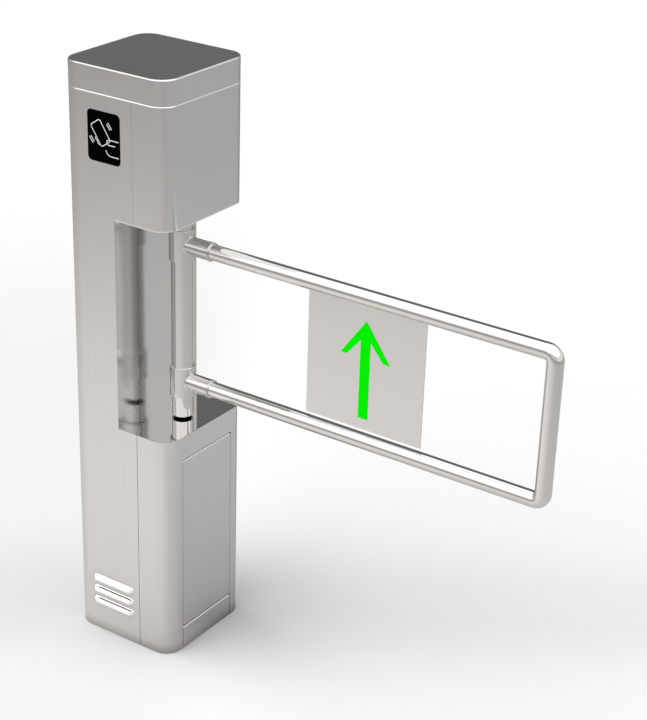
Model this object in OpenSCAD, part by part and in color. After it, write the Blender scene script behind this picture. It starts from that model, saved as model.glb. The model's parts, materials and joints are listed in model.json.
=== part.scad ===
// Swing barrier gate: a square stainless column with a through recess, in which an
// upright post turns and carries a tube frame wing. Millimetres, +Z up, origin at the
// middle of the column's base. The closed wing points along +X, the front is at -Y.

/* [Column] */
// Side of the square column
column_w = 200; // [190:5:240]
// Height of the head, from the recess up to the lid's seam
head_h = 191; // [180:1:230]
// Radius of the four upright corners
corner_r = 30; // [22:1:34]
// Thickness of the casing's sheet
sheet_t = 1.5; // [1.2:0.1:2]
// Distance of the front and back seams from the column's middle
seam_x = 37.5; // [30:0.5:42]
// Width of the seams in the casing
seam_gap = 0.8; // [0.4:0.1:1.2]

/* [Recess] */
// Height of the recess floor
recess_floor_z = 395; // [390:5:420]
// Height of the recess
recess_h = 352; // [320:4:360]
// Depth of the recess from the wing side of the column
recess_depth = 100; // [96:1:106]
// Thickness of the polished floor and ceiling plates
plate_t = 2; // [1.5:0.5:3]

/* [Lid] */
// Height of the lift-off lid
lid_h = 42; // [36:1:56]
// Rounding along the lid's top edge
lid_edge_r = 2.75; // [2.25:0.25:4]
// Height of the bright rim that shows under the lid
rim_h = 1.6; // [1.2:0.2:2.4]
// Depth of the lid's inner skirt below the rim's top
skirt_drop = 10; // [6:1:14]

/* [Access door] */
// Distance from the door's upright edges to where the corners begin
door_side = 7; // [5:0.5:12]
// Height of the door's lower edge
door_z = 41.5; // [38:0.5:50]
// Distance from the door's top edge up to the recess floor
door_top_drop = 41.5; // [38:0.5:60]
// Gap round the door
door_gap = 1; // [0.8:0.1:1.4]
// Depth of the door's folded edges behind its sheet
door_fold = 10; // [9:0.5:12]
// Diameter of the two pivot pins
door_pin_d = 4; // [3:0.5:5]
// Distance of the pivot pins from the outer face
door_pin_depth = 5; // [4.5:0.5:5.5]
// Distance of the pivot pins from the door's edge
door_pin_edge = 10; // [9:0.5:12]

/* [Base] */
// Thickness of the base plate
base_t = 6; // [5:1:10]
// Spacing of the four floor anchors
anchor_spacing = 130; // [120:5:135]
// Diameter of the anchor holes
anchor_d = 12; // [10:1:14]
// Diameter of the cable entry in the base plate
cable_entry_d = 50; // [40:2:60]
// Height of the base plate's upturned edge
base_lip_h = 20; // [14:1:28]

/* [Post] */
// Distance of the post's axis from the wing side of the column
post_inset = 50; // [49:0.5:51]
// Outer diameter of the post
post_d = 35; // [34:0.5:37]
// Wall of the post
post_wall = 2; // [1.5:0.5:2.5]
// Diameter of the shaft inside the post
shaft_d = 25; // [24:0.5:26]
// Height of the black ring under the post
ring_h = 4; // [3:0.5:6]
// Outer diameter of the black ring
ring_d = 31; // [30:0.5:33]
// Running gap at the post's two ends
post_end_gap = 0.5; // [0.3:0.1:1]

/* [Wing] */
// Distance from the post's axis to the end tube's axis
arm_reach = 650; // [500:10:800]
// Outer diameter of the wing's tubes
rail_d = 25; // [22:0.5:26]
// Wall of the wing's tubes
rail_wall = 1.5; // [1.2:0.1:2]
// Height of the lower rail over the recess floor
low_rail_rise = 64.5; // [60:0.5:70]
// Distance of the upper rail under the recess ceiling
top_rail_drop = 54.5; // [50:0.5:60]
// Bend radius of the two corner elbows
elbow_r = 14; // [14:0.5:40]
// Diameter of a collar round the post
collar_d = 41; // [40:0.5:42]
// Height of a collar
collar_h = 52; // [44:1:58]
// Diameter of a collar's socket for the rail
socket_d = 29; // [28.5:0.5:31]
// Distance of the socket's mouth from the post's axis
socket_reach = 60; // [50:1:64]
// Width of the lip round the socket's mouth
lip_w = 3; // [2:0.5:4]
// Height that the lip stands over the socket
lip_rise = 0.75; // [0.5:0.25:1.5]

/* [Panel] */
// Distance from the post's axis to the middle of the panel
panel_reach = 343.25; // [300:1:380]
// Width of the panel between the rails
panel_w = 204.5; // [160:0.5:240]
// Thickness of the panel
panel_t = 2; // [1.5:0.5:4]
// Free height between the lower rail and the panel, which hangs from the top rail
panel_rise = 6.5; // [1:0.5:12]
// Height of the arrow
arrow_h = 159; // [120:1:180]
// Width of the arrow over its barbs
arrow_w = 86; // [60:1:100]
// Width of the arrow's shaft
arrow_shaft_w = 16.8; // [12:0.2:24]
// Height of the arrow's head down to its barb tips
arrow_head_h = 60; // [50:1:70]
// Width of a barb's foot
arrow_barb_w = 11; // [8:0.5:14]
// Height from a barb's foot to where it leaves the shaft
arrow_notch_h = 28; // [20:1:34]
// Thickness of the arrow
arrow_t = 0.6; // [0.4:0.1:1]

/* [Front fittings] */
// Width of the card window
card_w = 63; // [55:1:66]
// Height of the card window
card_h = 79.5; // [70:0.5:84]
// Corner radius of the card window
card_r = 7.5; // [5:0.5:12]
// Distance of the card window's middle to the left of the column's middle
card_offset = 16.5; // [10:0.5:20]
// Distance from the lid's seam down to the card window
card_drop = 24; // [20:1:40]
// Number of vent louvres
louvre_count = 3; // [1:1:4]
// Length of a louvre
louvre_w = 85; // [60:1:88]
// Height of a louvre
louvre_h = 11.5; // [9:0.5:14]
// Distance from one louvre to the next
louvre_pitch = 21.5; // [20:0.5:26]
// Height of the lowest louvre's foot over the floor
louvre_z = 51.5; // [40:0.5:60]
// Distance that a louvre stands out
louvre_out = 6; // [4:0.5:8]
// Distance of the louvres' middle to the left of the column's middle
louvre_offset = 17.5; // [14:0.5:19]

/* [Drive] */
// Module of the two drive gears
gear_module = 2; // [1.9:0.05:2]
// Teeth on the shaft's gear, a multiple of four
wheel_teeth = 36; // [32:4:36]
// Teeth on the motor's pinion, an even number
pinion_teeth = 18; // [18:2:20]
// Width of the two gears
gear_w = 12; // [10:1:14]
// Play between meshing teeth at the pitch circle
gear_play = 0.2; // [0.1:0.05:0.3]
// Distance from the recess floor down to the drive deck's top
deck_drop = 109; // [102:1:116]
// Thickness of the drive deck
deck_t = 6; // [5:1:8]
// Diameter of the motor
motor_d = 57; // [50:1:60]
// Length of the motor
motor_len = 90; // [70:2:100]
// Diameter of the gearbox
gearbox_d = 52; // [46:1:56]
// Length of the gearbox
gearbox_len = 58; // [50:2:64]
// Diameter of the gearbox's output shaft
output_d = 12; // [10:1:14]
// Length of the holding brake
brake_len = 26; // [20:1:32]

/* [Bearings] */
// Bore of the ball bearings
bearing_bore = 20; // [17:1:20]
// Outer diameter of the ball bearings
bearing_od = 47; // [46:1:48]
// Width of the ball bearings
bearing_w = 14; // [12:1:14]
// Ball diameter
ball_d = 7.8; // [7:0.1:8]
// Diameter of the bearing housings' flanges
housing_flange_d = 72; // [71:0.5:73]
// Bolt circle of the bearing housings
housing_pcd = 63; // [62.5:0.25:64]

/* [Inside equipment] */
// Distance from the control board's sides to where the corners begin
board_side = 5; // [2:1:20]
// Free height over the control board
board_top_room = 35; // [20:1:60]
// Free height under the control board
board_rise = 24; // [16:1:40]
// Width of the power supply
supply_w = 98; // [80:2:110]
// Height of the power supply
supply_h = 160; // [120:2:180]
// Depth of the power supply
supply_depth = 30; // [24:1:32]
// Width of the cable duct
duct_w = 24; // [20:1:26]
// Depth of the cable duct
duct_depth = 30; // [24:1:36]

/* [Fits] */
// Clearance between pieces that are fixed to each other
fit = 0.15; // [0.1:0.05:0.2]
// Clearance between pieces that move past each other
running_gap = 0.3; // [0.25:0.05:0.4]
// Radial clearance of a pin or shaft that turns in a hole
pin_play = 0.06; // [0.03:0.01:0.09]

/* [Hidden] */
$fn = 72;

BRUSHED = [0.72, 0.71, 0.69];
POLISHED = [0.82, 0.82, 0.80];
MACHINED = [0.60, 0.61, 0.62];
CAST = [0.66, 0.67, 0.68];
BLACK = [0.07, 0.07, 0.07];
DARK = [0.20, 0.21, 0.22];
GREEN = [0.02, 0.85, 0.08];
BOARD = [0.05, 0.35, 0.18];

// Places that the driving sizes give
half_w = column_w / 2;
inner_half = half_w - sheet_t;
seat_half = inner_half - fit;
wall_x = half_w - recess_depth;
post_x = half_w - post_inset;
recess_top_z = recess_floor_z + recess_h;
lid_z = recess_top_z + head_h;
column_h = lid_z + lid_h;
skin_top_z = lid_z - rim_h;
low_rail_z = recess_floor_z + low_rail_rise;
top_rail_z = recess_top_z - top_rail_drop;
end_x = post_x + arm_reach;
panel_x = post_x + panel_reach;
through = 4;

// Rounded square in the plane, w wide and d deep
module rounded_rect(w, d, r) {
    square([w - 2 * r, d], center = true);
    square([w, d - 2 * r], center = true);
    for (sx = [-1, 1], sy = [-1, 1])
        translate([sx * (w / 2 - r), sy * (d / 2 - r)]) circle(r);
}

// The column's outline, drawn in by a distance
module outline(inset = 0) {
    rounded_rect(column_w - 2 * inset, column_w - 2 * inset, corner_r - inset);
}

// Upright wall that follows the outline, from one inset to a deeper one
module wall(z0, z1, outer = 0, inner = sheet_t) {
    translate([0, 0, z0]) linear_extrude(z1 - z0) difference() {
        outline(outer);
        outline(inner);
    }
}

// Carries a profile round the outline; the profile's x is its distance from a corner's axis
module round_outline() {
    side = column_w - 2 * corner_r;
    for (k = [0:3]) rotate(90 * k) {
        translate([half_w - corner_r, side / 2, 0]) rotate([90, 0, 0])
            linear_extrude(side) children();
        translate([half_w - corner_r, half_w - corner_r, 0])
            rotate_extrude(angle = 90) children();
    }
}

// Everything on the wing side of a plane across X
module beyond_x(x) {
    translate([x, -column_w, -column_h]) cube([column_w, 2 * column_w, 3 * column_h]);
}

// Round tube, standing
module tube(d, inner_d, h) {
    difference() {
        cylinder(d = d, h = h);
        translate([0, 0, -through]) cylinder(d = inner_d, h = h + 2 * through);
    }
}

// Hexagon socket screw with its head's underside at the origin, its shank pointing down
module cap_screw(d, len) {
    head_d = 1.6 * d;
    difference() {
        cylinder(d = head_d, h = d);
        translate([0, 0, d / 2]) cylinder(d = 0.9 * d, h = d, $fn = 6);
    }
    translate([0, 0, -len]) cylinder(d = d, h = len);
}

// Places of the louvres: children stand at the foot of each one, on the front face
module at_louvres() {
    for (k = [0:louvre_count - 1])
        translate([-louvre_offset, -half_w, louvre_z + k * louvre_pitch]) children();
}

// Base plate with an upturned edge inside the casing
module base_plate() {
    color(MACHINED) {
        difference() {
            linear_extrude(base_t) outline(sheet_t + fit);
            for (sx = [-1, 1], sy = [-1, 1])
                translate([sx * anchor_spacing / 2, sy * anchor_spacing / 2, -through])
                    cylinder(d = anchor_d, h = base_t + 2 * through);
            translate([0, 0, -through]) cylinder(d = cable_entry_d, h = base_t + 2 * through);
        }
        wall(base_t, base_lip_h, sheet_t + fit, 2 * sheet_t + fit);
    }
}

// Front, left and back of the casing in one folded sheet, notched for the recess
lock_d = 16;
lock_drop = 30;
lock_z = lid_z - lock_drop;
slot_h = louvre_h / 2;
slot_w = louvre_w - 4 * louvre_out;
louvre_lip = 2;
card_z = lid_z - card_drop - card_h / 2;

module spine_shell() {
    color(BRUSHED) difference() {
        wall(0, skin_top_z);
        beyond_x(seam_x - seam_gap / 2);
        intersection() {
            beyond_x(wall_x);
            translate([-column_w, -column_w, recess_floor_z])
                cube([2 * column_w, 2 * column_w, recess_h + plate_t]);
        }
        at_louvres() translate([-slot_w / 2, -through, louvre_lip])
            cube([slot_w, 2 * through + sheet_t, slot_h]);
        translate([-card_offset, 0, card_z]) rotate([90, 0, 0])
            linear_extrude(column_w) rounded_rect(card_w, card_h, card_r);
        translate([0, 0, lock_z]) rotate([-90, 0, 0])
            cylinder(d = lock_d + 2 * fit, h = column_w);
    }
}

// Wing side of the lower box, open down to the floor for the door and the kick plate
door_w = column_w - 2 * (corner_r + door_side);
door_top_z = recess_floor_z - door_top_drop;
door_h = door_top_z - door_z;

module lower_wrap() {
    color(BRUSHED) difference() {
        intersection() {
            wall(0, recess_floor_z);
            beyond_x(seam_x + seam_gap / 2);
        }
        translate([inner_half - door_fold, -door_w / 2 - door_gap, -through])
            cube([2 * door_fold, door_w + 2 * door_gap, door_top_z + door_gap + through]);
    }
}

// Wing side of the head
module head_wrap() {
    color(BRUSHED) intersection() {
        wall(recess_top_z + plate_t, skin_top_z);
        beyond_x(seam_x + seam_gap / 2);
    }
}

// Pivot pin places, used by the door, the kick plate and the header
door_pin_x = half_w - door_pin_depth;
door_pin_y = door_w / 2 - door_pin_edge;
shelf_depth = 20;
shelf_x = inner_half - shelf_depth;
shelf_w = door_w + 2 * door_gap;

// Strip under the door, folded back to a shelf that carries the lower pivot pin
module kick_plate() {
    kick_h = door_z - door_gap;
    color(BRUSHED) {
        translate([inner_half, -door_w / 2, 0]) cube([sheet_t, door_w, kick_h]);
        difference() {
            translate([shelf_x, -door_w / 2, kick_h - sheet_t])
                cube([shelf_depth, door_w, sheet_t]);
            translate([door_pin_x, door_pin_y, kick_h - through])
                cylinder(d = door_pin_d + 2 * pin_play, h = 2 * through);
        }
    }
}

// Angle behind the casing over the door, whose shelf carries the upper pivot pin
header_room = 13.5;
header_h = door_top_drop - header_room;

module door_header() {
    color(MACHINED) {
        translate([inner_half - sheet_t, -shelf_w / 2, door_top_z + door_gap])
            cube([sheet_t, shelf_w, header_h]);
        difference() {
            translate([shelf_x, -shelf_w / 2, door_top_z + door_gap])
                cube([shelf_depth - sheet_t, shelf_w, sheet_t]);
            translate([door_pin_x, door_pin_y, door_top_z + door_gap - through])
                cylinder(d = door_pin_d + 2 * pin_play, h = 2 * through);
        }
    }
}

// Two short pins on which the door turns
module door_pins() {
    pin_in_door = sheet_t + 1;
    pin_len = pin_in_door + door_gap + sheet_t + 2;
    color(MACHINED) for (z = [door_z + pin_in_door - pin_len, door_top_z - pin_in_door])
        translate([door_pin_x, door_pin_y, z]) cylinder(d = door_pin_d, h = pin_len);
}

// Folded strip behind the door's free edge, which it closes against
stop_face_x = inner_half - door_fold - running_gap;
stop_end_gap = 6;
stop_lap = 14;
stop_side = door_w / 2 + door_gap + sheet_t;
stop_foot = half_w - corner_r - stop_side;

module door_stop() {
    z0 = door_z + stop_end_gap;
    h = door_h - 2 * stop_end_gap;
    color(MACHINED) {
        translate([inner_half - sheet_t, -stop_side - stop_foot, z0])
            cube([sheet_t, stop_foot, h]);
        translate([stop_face_x - sheet_t, -stop_side - sheet_t, z0])
            cube([inner_half - stop_face_x + sheet_t, sheet_t, h]);
        translate([stop_face_x - sheet_t, -stop_side, z0]) cube([sheet_t, stop_lap, h]);
    }
}

// Two magnets on the stop that hold the door's sheet
catch_len = 30;
catch_w = 7;
catch_end = 30;

module door_catches() {
    catch_y = -door_w / 2 + sheet_t + 2 * running_gap;
    color(DARK) for (z = [door_z + catch_end, door_top_z - catch_end - catch_len])
        translate([stop_face_x, catch_y, z])
            cube([inner_half - running_gap - stop_face_x, catch_w, catch_len]);
}

// Folded door with a tray edge on all four sides
module access_door() {
    color(BRUSHED) difference() {
        translate([inner_half - door_fold, -door_w / 2, door_z])
            cube([door_fold + sheet_t, door_w, door_h]);
        translate([inner_half - door_fold - through, -door_w / 2 + sheet_t, door_z + sheet_t])
            cube([door_fold + through, door_w - 2 * sheet_t, door_h - 2 * sheet_t]);
        translate([door_pin_x, door_pin_y, 0])
            cylinder(d = door_pin_d + 2 * pin_play, h = column_h);
    }
}

// Polished wall at the back of the recess
module recess_wall() {
    color(POLISHED) translate([wall_x - sheet_t, -seat_half, recess_floor_z])
        cube([sheet_t, 2 * seat_half, recess_h]);
}

// Polished floor of the recess, let in flush with the casing's edge
shaft_hole_d = shaft_d + 2;

module recess_floor() {
    color(POLISHED) translate([0, 0, recess_floor_z - plate_t]) difference() {
        intersection() {
            linear_extrude(plate_t) outline(sheet_t + fit);
            beyond_x(wall_x - sheet_t);
        }
        translate([post_x, 0, -through]) cylinder(d = shaft_hole_d, h = 2 * through + plate_t);
    }
}

// Polished plate under the head, whose edge shows as a bright line round it
module recess_ceiling() {
    color(POLISHED) translate([0, 0, recess_top_z]) difference() {
        union() {
            intersection() {
                linear_extrude(plate_t) outline();
                beyond_x(wall_x);
            }
            translate([wall_x - sheet_t, -seat_half, 0])
                cube([sheet_t + through, 2 * seat_half, plate_t]);
        }
        translate([post_x, 0, -through]) cylinder(d = shaft_hole_d, h = 2 * through + plate_t);
        at_housing_bolts(-through) cylinder(d = housing_bolt_d, h = 2 * through + plate_t);
    }
}

// Bright rim on the casing's top edge, with an inner lip that holds the skins in line
rim_lip_h = 16;
rim_chamfer = 0.8;

module lid_rim() {
    color(POLISHED) round_outline() {
        polygon([
            [corner_r - 2 * sheet_t - fit, lid_z - rim_lip_h],
            [corner_r - sheet_t - fit, lid_z - rim_lip_h],
            [corner_r - sheet_t - fit, skin_top_z],
            [corner_r, skin_top_z],
            [corner_r, lid_z - rim_chamfer],
            [corner_r - rim_chamfer, lid_z],
            [corner_r - 2 * sheet_t - fit, lid_z]]);
    }
}

// Lid with a rounded top edge and an inner skirt
skirt_inset = 2 * sheet_t + 2 * fit + running_gap;
skirt_inner = half_w - skirt_inset - sheet_t;

module lid() {
    color(BRUSHED) {
        round_outline() {
            translate([corner_r - sheet_t, lid_z]) square([sheet_t, lid_h - lid_edge_r]);
            translate([corner_r - lid_edge_r, column_h - lid_edge_r]) intersection() {
                difference() {
                    circle(lid_edge_r);
                    circle(lid_edge_r - sheet_t);
                }
                square(lid_edge_r);
            }
        }
        translate([0, 0, column_h - sheet_t]) linear_extrude(sheet_t) outline(lid_edge_r);
        wall(lid_z - skirt_drop, column_h - sheet_t, skirt_inset, skirt_inset + sheet_t);
    }
}

// Angle that hangs from the lid's skirt, whose foot the lock's tongue holds down
hook_w = 16;
hook_x = 14;
hook_t = 2;
lock_reach = 18;
tongue_w = 10;
tongue_t = 3;
tongue_y = half_w - lock_reach;

module lid_hook() {
    foot_z = lock_z - tongue_w / 2 - running_gap - hook_t;
    foot_reach = skirt_inner - tongue_y + 2 * tongue_t;
    color(MACHINED) {
        translate([hook_x, skirt_inner - hook_t, foot_z])
            cube([hook_w, hook_t, lid_z - foot_z]);
        translate([hook_x, skirt_inner - foot_reach, foot_z])
            cube([hook_w, foot_reach, hook_t]);
    }
}

// Barrel of the lid's key lock, in the back of the head
lock_head_d = 20;
lock_head_t = 2;
lock_core_d = 11;

module lock_barrel() {
    barrel_end_y = tongue_y + running_gap;
    color(POLISHED) translate([0, barrel_end_y, lock_z]) rotate([-90, 0, 0]) difference() {
        union() {
            translate([0, 0, half_w - barrel_end_y])
                cylinder(d = lock_head_d, h = lock_head_t);
            cylinder(d = lock_d, h = half_w + lock_head_t - barrel_end_y);
        }
        translate([0, 0, -through])
            cylinder(d = lock_core_d + 2 * pin_play, h = half_w);
    }
}

// Turning core of the lock, with its key slot and its tongue
tongue_len = 24;
key_slot_w = 1.6;
key_slot_h = 8;

module lock_core() {
    core_len = half_w + lock_head_t - tongue_y;
    color(MACHINED) {
        translate([0, tongue_y, lock_z]) rotate([-90, 0, 0]) difference() {
            cylinder(d = lock_core_d, h = core_len);
            translate([-key_slot_w / 2, -key_slot_h / 2, core_len - through])
                cube([key_slot_w, key_slot_h, 2 * through]);
        }
        translate([-tongue_w / 2, tongue_y - tongue_t, lock_z - tongue_w / 2])
            cube([tongue_w, tongue_t, tongue_len + tongue_w / 2]);
    }
}

// Black window of the card reader, with a flange behind the casing
window_proud = 0.4;
window_flange = 4;
window_flange_t = 2;

module card_window() {
    color(BLACK) translate([-card_offset, 0, card_z]) rotate([90, 0, 0]) {
        translate([0, 0, inner_half - window_flange_t]) linear_extrude(window_flange_t)
            rounded_rect(card_w + 2 * window_flange, card_h + 2 * window_flange,
                card_r + window_flange);
        translate([0, 0, inner_half - window_flange_t])
            linear_extrude(window_flange_t + sheet_t + window_proud)
                rounded_rect(card_w - 2 * fit, card_h - 2 * fit, card_r - fit);
    }
}

// Card reader behind its window
reader_depth = 12;

module card_reader() {
    reader_y = inner_half - window_flange_t - fit;
    color(DARK) translate([-card_offset, 0, card_z]) rotate([90, 0, 0])
        translate([0, 0, reader_y - reader_depth]) linear_extrude(reader_depth)
            rounded_rect(card_w, card_h, card_r);
}

// Wedge that stands out from the front face, hipped at both ends
// Its shoulder lies at these shares of how far it stands out and of its height
shoulder_out = 0.4;
shoulder_drop = 0.25;

module hood_body(w, h, out, lip) {
    intersection() {
        translate([-w / 2, 0, 0]) rotate([90, 0, 90]) linear_extrude(w)
            polygon([[0, 0], [0, h], [-shoulder_out * out, h - shoulder_drop * h], [-out, lip],
                [-out, 0]]);
        linear_extrude(h)
            polygon([[-w / 2, 0], [w / 2, 0], [w / 2 - out, -out], [out - w / 2, -out]]);
    }
}

// Pressed vent hoods, each seated over its slot and open underneath
module vent_louvres() {
    color(POLISHED) at_louvres() difference() {
        hood_body(louvre_w, louvre_h, louvre_out, louvre_lip);
        translate([0, 0, -sheet_t])
            hood_body(louvre_w - 3 * sheet_t, louvre_h - sheet_t / 2,
                louvre_out - sheet_t, louvre_lip + sheet_t);
    }
}

// Control board on the left wall of the head, over four standoffs
board_t = 1.6;
board_w = column_w - 2 * (corner_r + board_side);
board_z = recess_top_z + plate_t + board_rise;
board_h = lid_z - board_top_room - board_z;
standoff_h = 8;
standoff_d = 8;
standoff_edge = 8;
board_x = -seat_half + standoff_h;
board_stud_d = 3;
board_hole_d = 3.4;

module at_board_corners() {
    for (sy = [-1, 1], top = [0, 1])
        translate([0, sy * (board_w / 2 - standoff_edge),
            board_z + standoff_edge + top * (board_h - 2 * standoff_edge)])
            rotate([0, 90, 0]) children();
}

module control_board() {
    color(BOARD) difference() {
        translate([board_x, -board_w / 2, board_z]) cube([board_t, board_w, board_h]);
        at_board_corners() translate([0, 0, -half_w]) cylinder(d = board_hole_d, h = column_w);
    }
}

module board_standoffs() {
    nut_h = 2.5;
    color(MACHINED) at_board_corners() {
        translate([0, 0, -seat_half]) cylinder(d = standoff_d, h = standoff_h);
        translate([0, 0, board_x]) cylinder(d = board_stud_d, h = board_t + nut_h);
        translate([0, 0, board_x + board_t]) cylinder(d = 2 * board_stud_d, h = nut_h);
    }
}

// Relays, terminal strips, a capacitor and a processor on the board
relay_count = 4;
relay_w = 17;
relay_h = 16;
strip_t = 10;
capacitor_d = 18;
capacitor_h = 22;
chip_w = 24;
chip_t = 3;
parts_edge = 20;

module board_components() {
    row_w = board_w - 2 * parts_edge;
    relay_pitch = (row_w + parts_edge - relay_w - strip_t) / relay_count;
    low_row_z = board_z + board_h / 8;
    strip_z = board_z + 3 * board_h / 8;
    high_row_z = board_z + 3 * board_h / 4;
    color(DARK) translate([board_x + board_t, -row_w / 2, 0]) {
        for (k = [0:relay_count - 1]) translate([0, k * relay_pitch, low_row_z])
            cube([relay_h, relay_w, relay_h]);
        for (k = [0:1]) translate([0, 0, strip_z + 2 * k * strip_t])
            cube([strip_t, row_w - parts_edge - strip_t, strip_t]);
        translate([0, capacitor_d / 2, high_row_z + chip_w / 2]) rotate([0, 90, 0])
            cylinder(d = capacitor_d, h = capacitor_h);
        translate([0, row_w - parts_edge - strip_t - chip_w, high_row_z])
            cube([chip_t, chip_w, chip_w]);
    }
}

// Power supply on the left wall of the lower box, with cooling slits
supply_z = 90;

module power_supply() {
    slit_count = 8;
    slit_edge = 10;
    slit = [1, supply_w - 2 * slit_edge, 4];
    slit_pitch = (supply_h - 4 * slit_edge) / slit_count;
    color(CAST) difference() {
        translate([-seat_half, -supply_w / 2, supply_z])
            cube([supply_depth, supply_w, supply_h]);
        for (k = [0:slit_count - 1])
            translate([supply_depth - seat_half - slit[0], -slit[1] / 2,
                supply_z + 2 * slit_edge + k * slit_pitch])
                cube([slit[0] + through, slit[1], slit[2]]);
    }
}

// Mains terminals on a rail, on the back wall
terminal_z = 120;

module terminal_block() {
    block_count = 6;
    block = [9, 34, 42];
    rail_t = 7.5;
    rail_h = 34;
    rail_len = (block_count + 2) * block[0];
    color(CAST) translate([-rail_len / 2, seat_half - rail_t, terminal_z])
        cube([rail_len, rail_t, rail_h]);
    color(DARK) for (k = [0:block_count - 1])
        translate([(k - block_count / 2) * block[0] + fit,
            seat_half - rail_t - block[1], terminal_z - (block[2] - rail_h) / 2])
            cube([block[0] - 2 * fit, block[1], block[2]]);
}

// Cable duct up the back of the spine, from the lower box into the head
duct_z = 60;
duct_into_head = 60;
duct_x = corner_r + 1 - half_w;
duct_wall = 2;

module cable_duct() {
    duct_h = recess_top_z + duct_into_head - duct_z;
    color(CAST) translate([duct_x, seat_half - duct_depth, duct_z]) difference() {
        cube([duct_w, duct_depth, duct_h]);
        translate([duct_wall, duct_wall, -through])
            cube([duct_w - 2 * duct_wall, duct_depth - 2 * duct_wall, duct_h + 2 * through]);
    }
}

// Places of the drive train
deck_z = recess_floor_z - deck_drop;
wheel_r = gear_module * wheel_teeth / 2;
pinion_r = gear_module * pinion_teeth / 2;
motor_x = post_x - wheel_r - pinion_r;
housing_rim_h = 5;
housing_h = bearing_w + housing_rim_h;
seat_t = 3;
stack_gap = 5;
gear_z = deck_z + housing_h + stack_gap;
hub_h = 12;
lever_z = gear_z + gear_w + hub_h + stack_gap + 1;
lever_h = 10;
disc_z = lever_z + lever_h + 2 * stack_gap + 2;
disc_t = 2;

// Bridge across the lower box that carries the motor and the lower bearing
deck_fold_h = 26;
deck_door_room = 8.5;
deck_x0 = duct_x + duct_w + 3;
deck_x1 = inner_half - door_fold - deck_door_room;
deck_stud_d = 5;
stud_edge = 14;

module at_deck_studs() {
    for (sy = [-1, 1], x = [deck_x0 + stud_edge, deck_x1 - stud_edge])
        translate([x, sy * inner_half, deck_z - (deck_fold_h + deck_t) / 2])
            rotate([sy * 90, 0, 0]) children();
}

module drive_deck() {
    under_z = deck_z - 2 * deck_t;
    color(MACHINED) difference() {
        union() {
            translate([deck_x0, -seat_half, deck_z - deck_t])
                cube([deck_x1 - deck_x0, 2 * seat_half, deck_t]);
            for (sy = [-1, 1])
                translate([deck_x0, sy * (seat_half - deck_t / 2) - deck_t / 2,
                    deck_z - deck_fold_h])
                    cube([deck_x1 - deck_x0, deck_t, deck_fold_h]);
        }
        beyond_corners();
        translate([post_x, 0, under_z]) cylinder(d = 1.6 * bearing_bore, h = 3 * deck_t);
        translate([motor_x, 0, under_z]) cylinder(d = 1.3 * output_d, h = 3 * deck_t);
        at_gearbox_screws(under_z) cylinder(d = gearbox_screw_d, h = 3 * deck_t);
        at_housing_bolts(under_z) cylinder(d = housing_bolt_d, h = 3 * deck_t);
        at_deck_studs() cylinder(d = deck_stud_d, h = 2 * deck_t);
    }
}

// What lies outside the casing's inner outline
module beyond_corners() {
    linear_extrude(column_h) difference() {
        square(2 * column_w, center = true);
        outline(sheet_t + fit);
    }
}

// Studs on the casing that carry the deck by its folds, each with its nut
module deck_studs() {
    nut_h = 0.8 * deck_stud_d;
    color(MACHINED) at_deck_studs() {
        cylinder(d = deck_stud_d - 2 * fit, h = fit + deck_t + 1.4 * nut_h);
        translate([0, 0, fit + deck_t]) cylinder(d = 1.8 * deck_stud_d, h = nut_h, $fn = 6);
    }
}

// Gearbox with a square top flange, hung under the deck
gearbox_top_z = deck_z - deck_t;
gearbox_flange_t = 6;
gearbox_screw_d = 4;
gearbox_screw_at = 18;
gearbox_corner_r = 6;
output_depth = 20;

module at_gearbox_screws(z) {
    for (sx = [-1, 1], sy = [-1, 1])
        translate([motor_x + sx * gearbox_screw_at, sy * gearbox_screw_at, z]) children();
}

module gearbox() {
    color(CAST) difference() {
        union() {
            translate([motor_x, 0, gearbox_top_z - gearbox_len])
                cylinder(d = gearbox_d, h = gearbox_len);
            translate([motor_x, 0, gearbox_top_z - gearbox_flange_t])
                linear_extrude(gearbox_flange_t) rounded_rect(gearbox_d, gearbox_d, gearbox_corner_r);
        }
        translate([motor_x, 0, gearbox_top_z - output_depth])
            cylinder(d = output_d + 2 * pin_play, h = output_depth + through);
        at_gearbox_screws(gearbox_top_z - gearbox_flange_t - through)
            cylinder(d = gearbox_screw_d, h = gearbox_flange_t + 2 * through);
    }
}

module gearbox_screws() {
    color(MACHINED) at_gearbox_screws(deck_z)
        cap_screw(gearbox_screw_d - 2 * fit, deck_t + gearbox_flange_t);
}

// Motor under the gearbox, with its slimmer end bells
bell_h = 8;
bell_d = motor_d - 4;

module drive_motor() {
    top_z = gearbox_top_z - gearbox_len;
    color(DARK) translate([motor_x, 0, top_z - motor_len]) {
        cylinder(d = bell_d, h = motor_len);
        translate([0, 0, bell_h]) cylinder(d = motor_d, h = motor_len - 2 * bell_h);
    }
}

// Holding brake at the motor's tail
module motor_brake() {
    top_z = gearbox_top_z - gearbox_len - motor_len;
    color(CAST) translate([motor_x, 0, top_z - brake_len])
        cylinder(d = bell_d - 4, h = brake_len);
}

// Involute gear in the plane, with one tooth centred on +X where turn is 0
pressure = 20;
flank_steps = 4;
function involute(a) = tan(a) * 180 / PI - a;
function tooth_half(r, pitch_r, base_r) =
    (PI * gear_module / 4 - gear_play / 4) / pitch_r * 180 / PI
    + involute(pressure) - involute(acos(min(1, base_r / r)));
function flank(pitch_r, base_r, tip_r) = [
    for (k = [0:flank_steps]) let (r = base_r + (tip_r - base_r) * k / flank_steps)
        [r, tooth_half(r, pitch_r, base_r)]];
function at_angle(r, a) = [r * cos(a), r * sin(a)];

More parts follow.
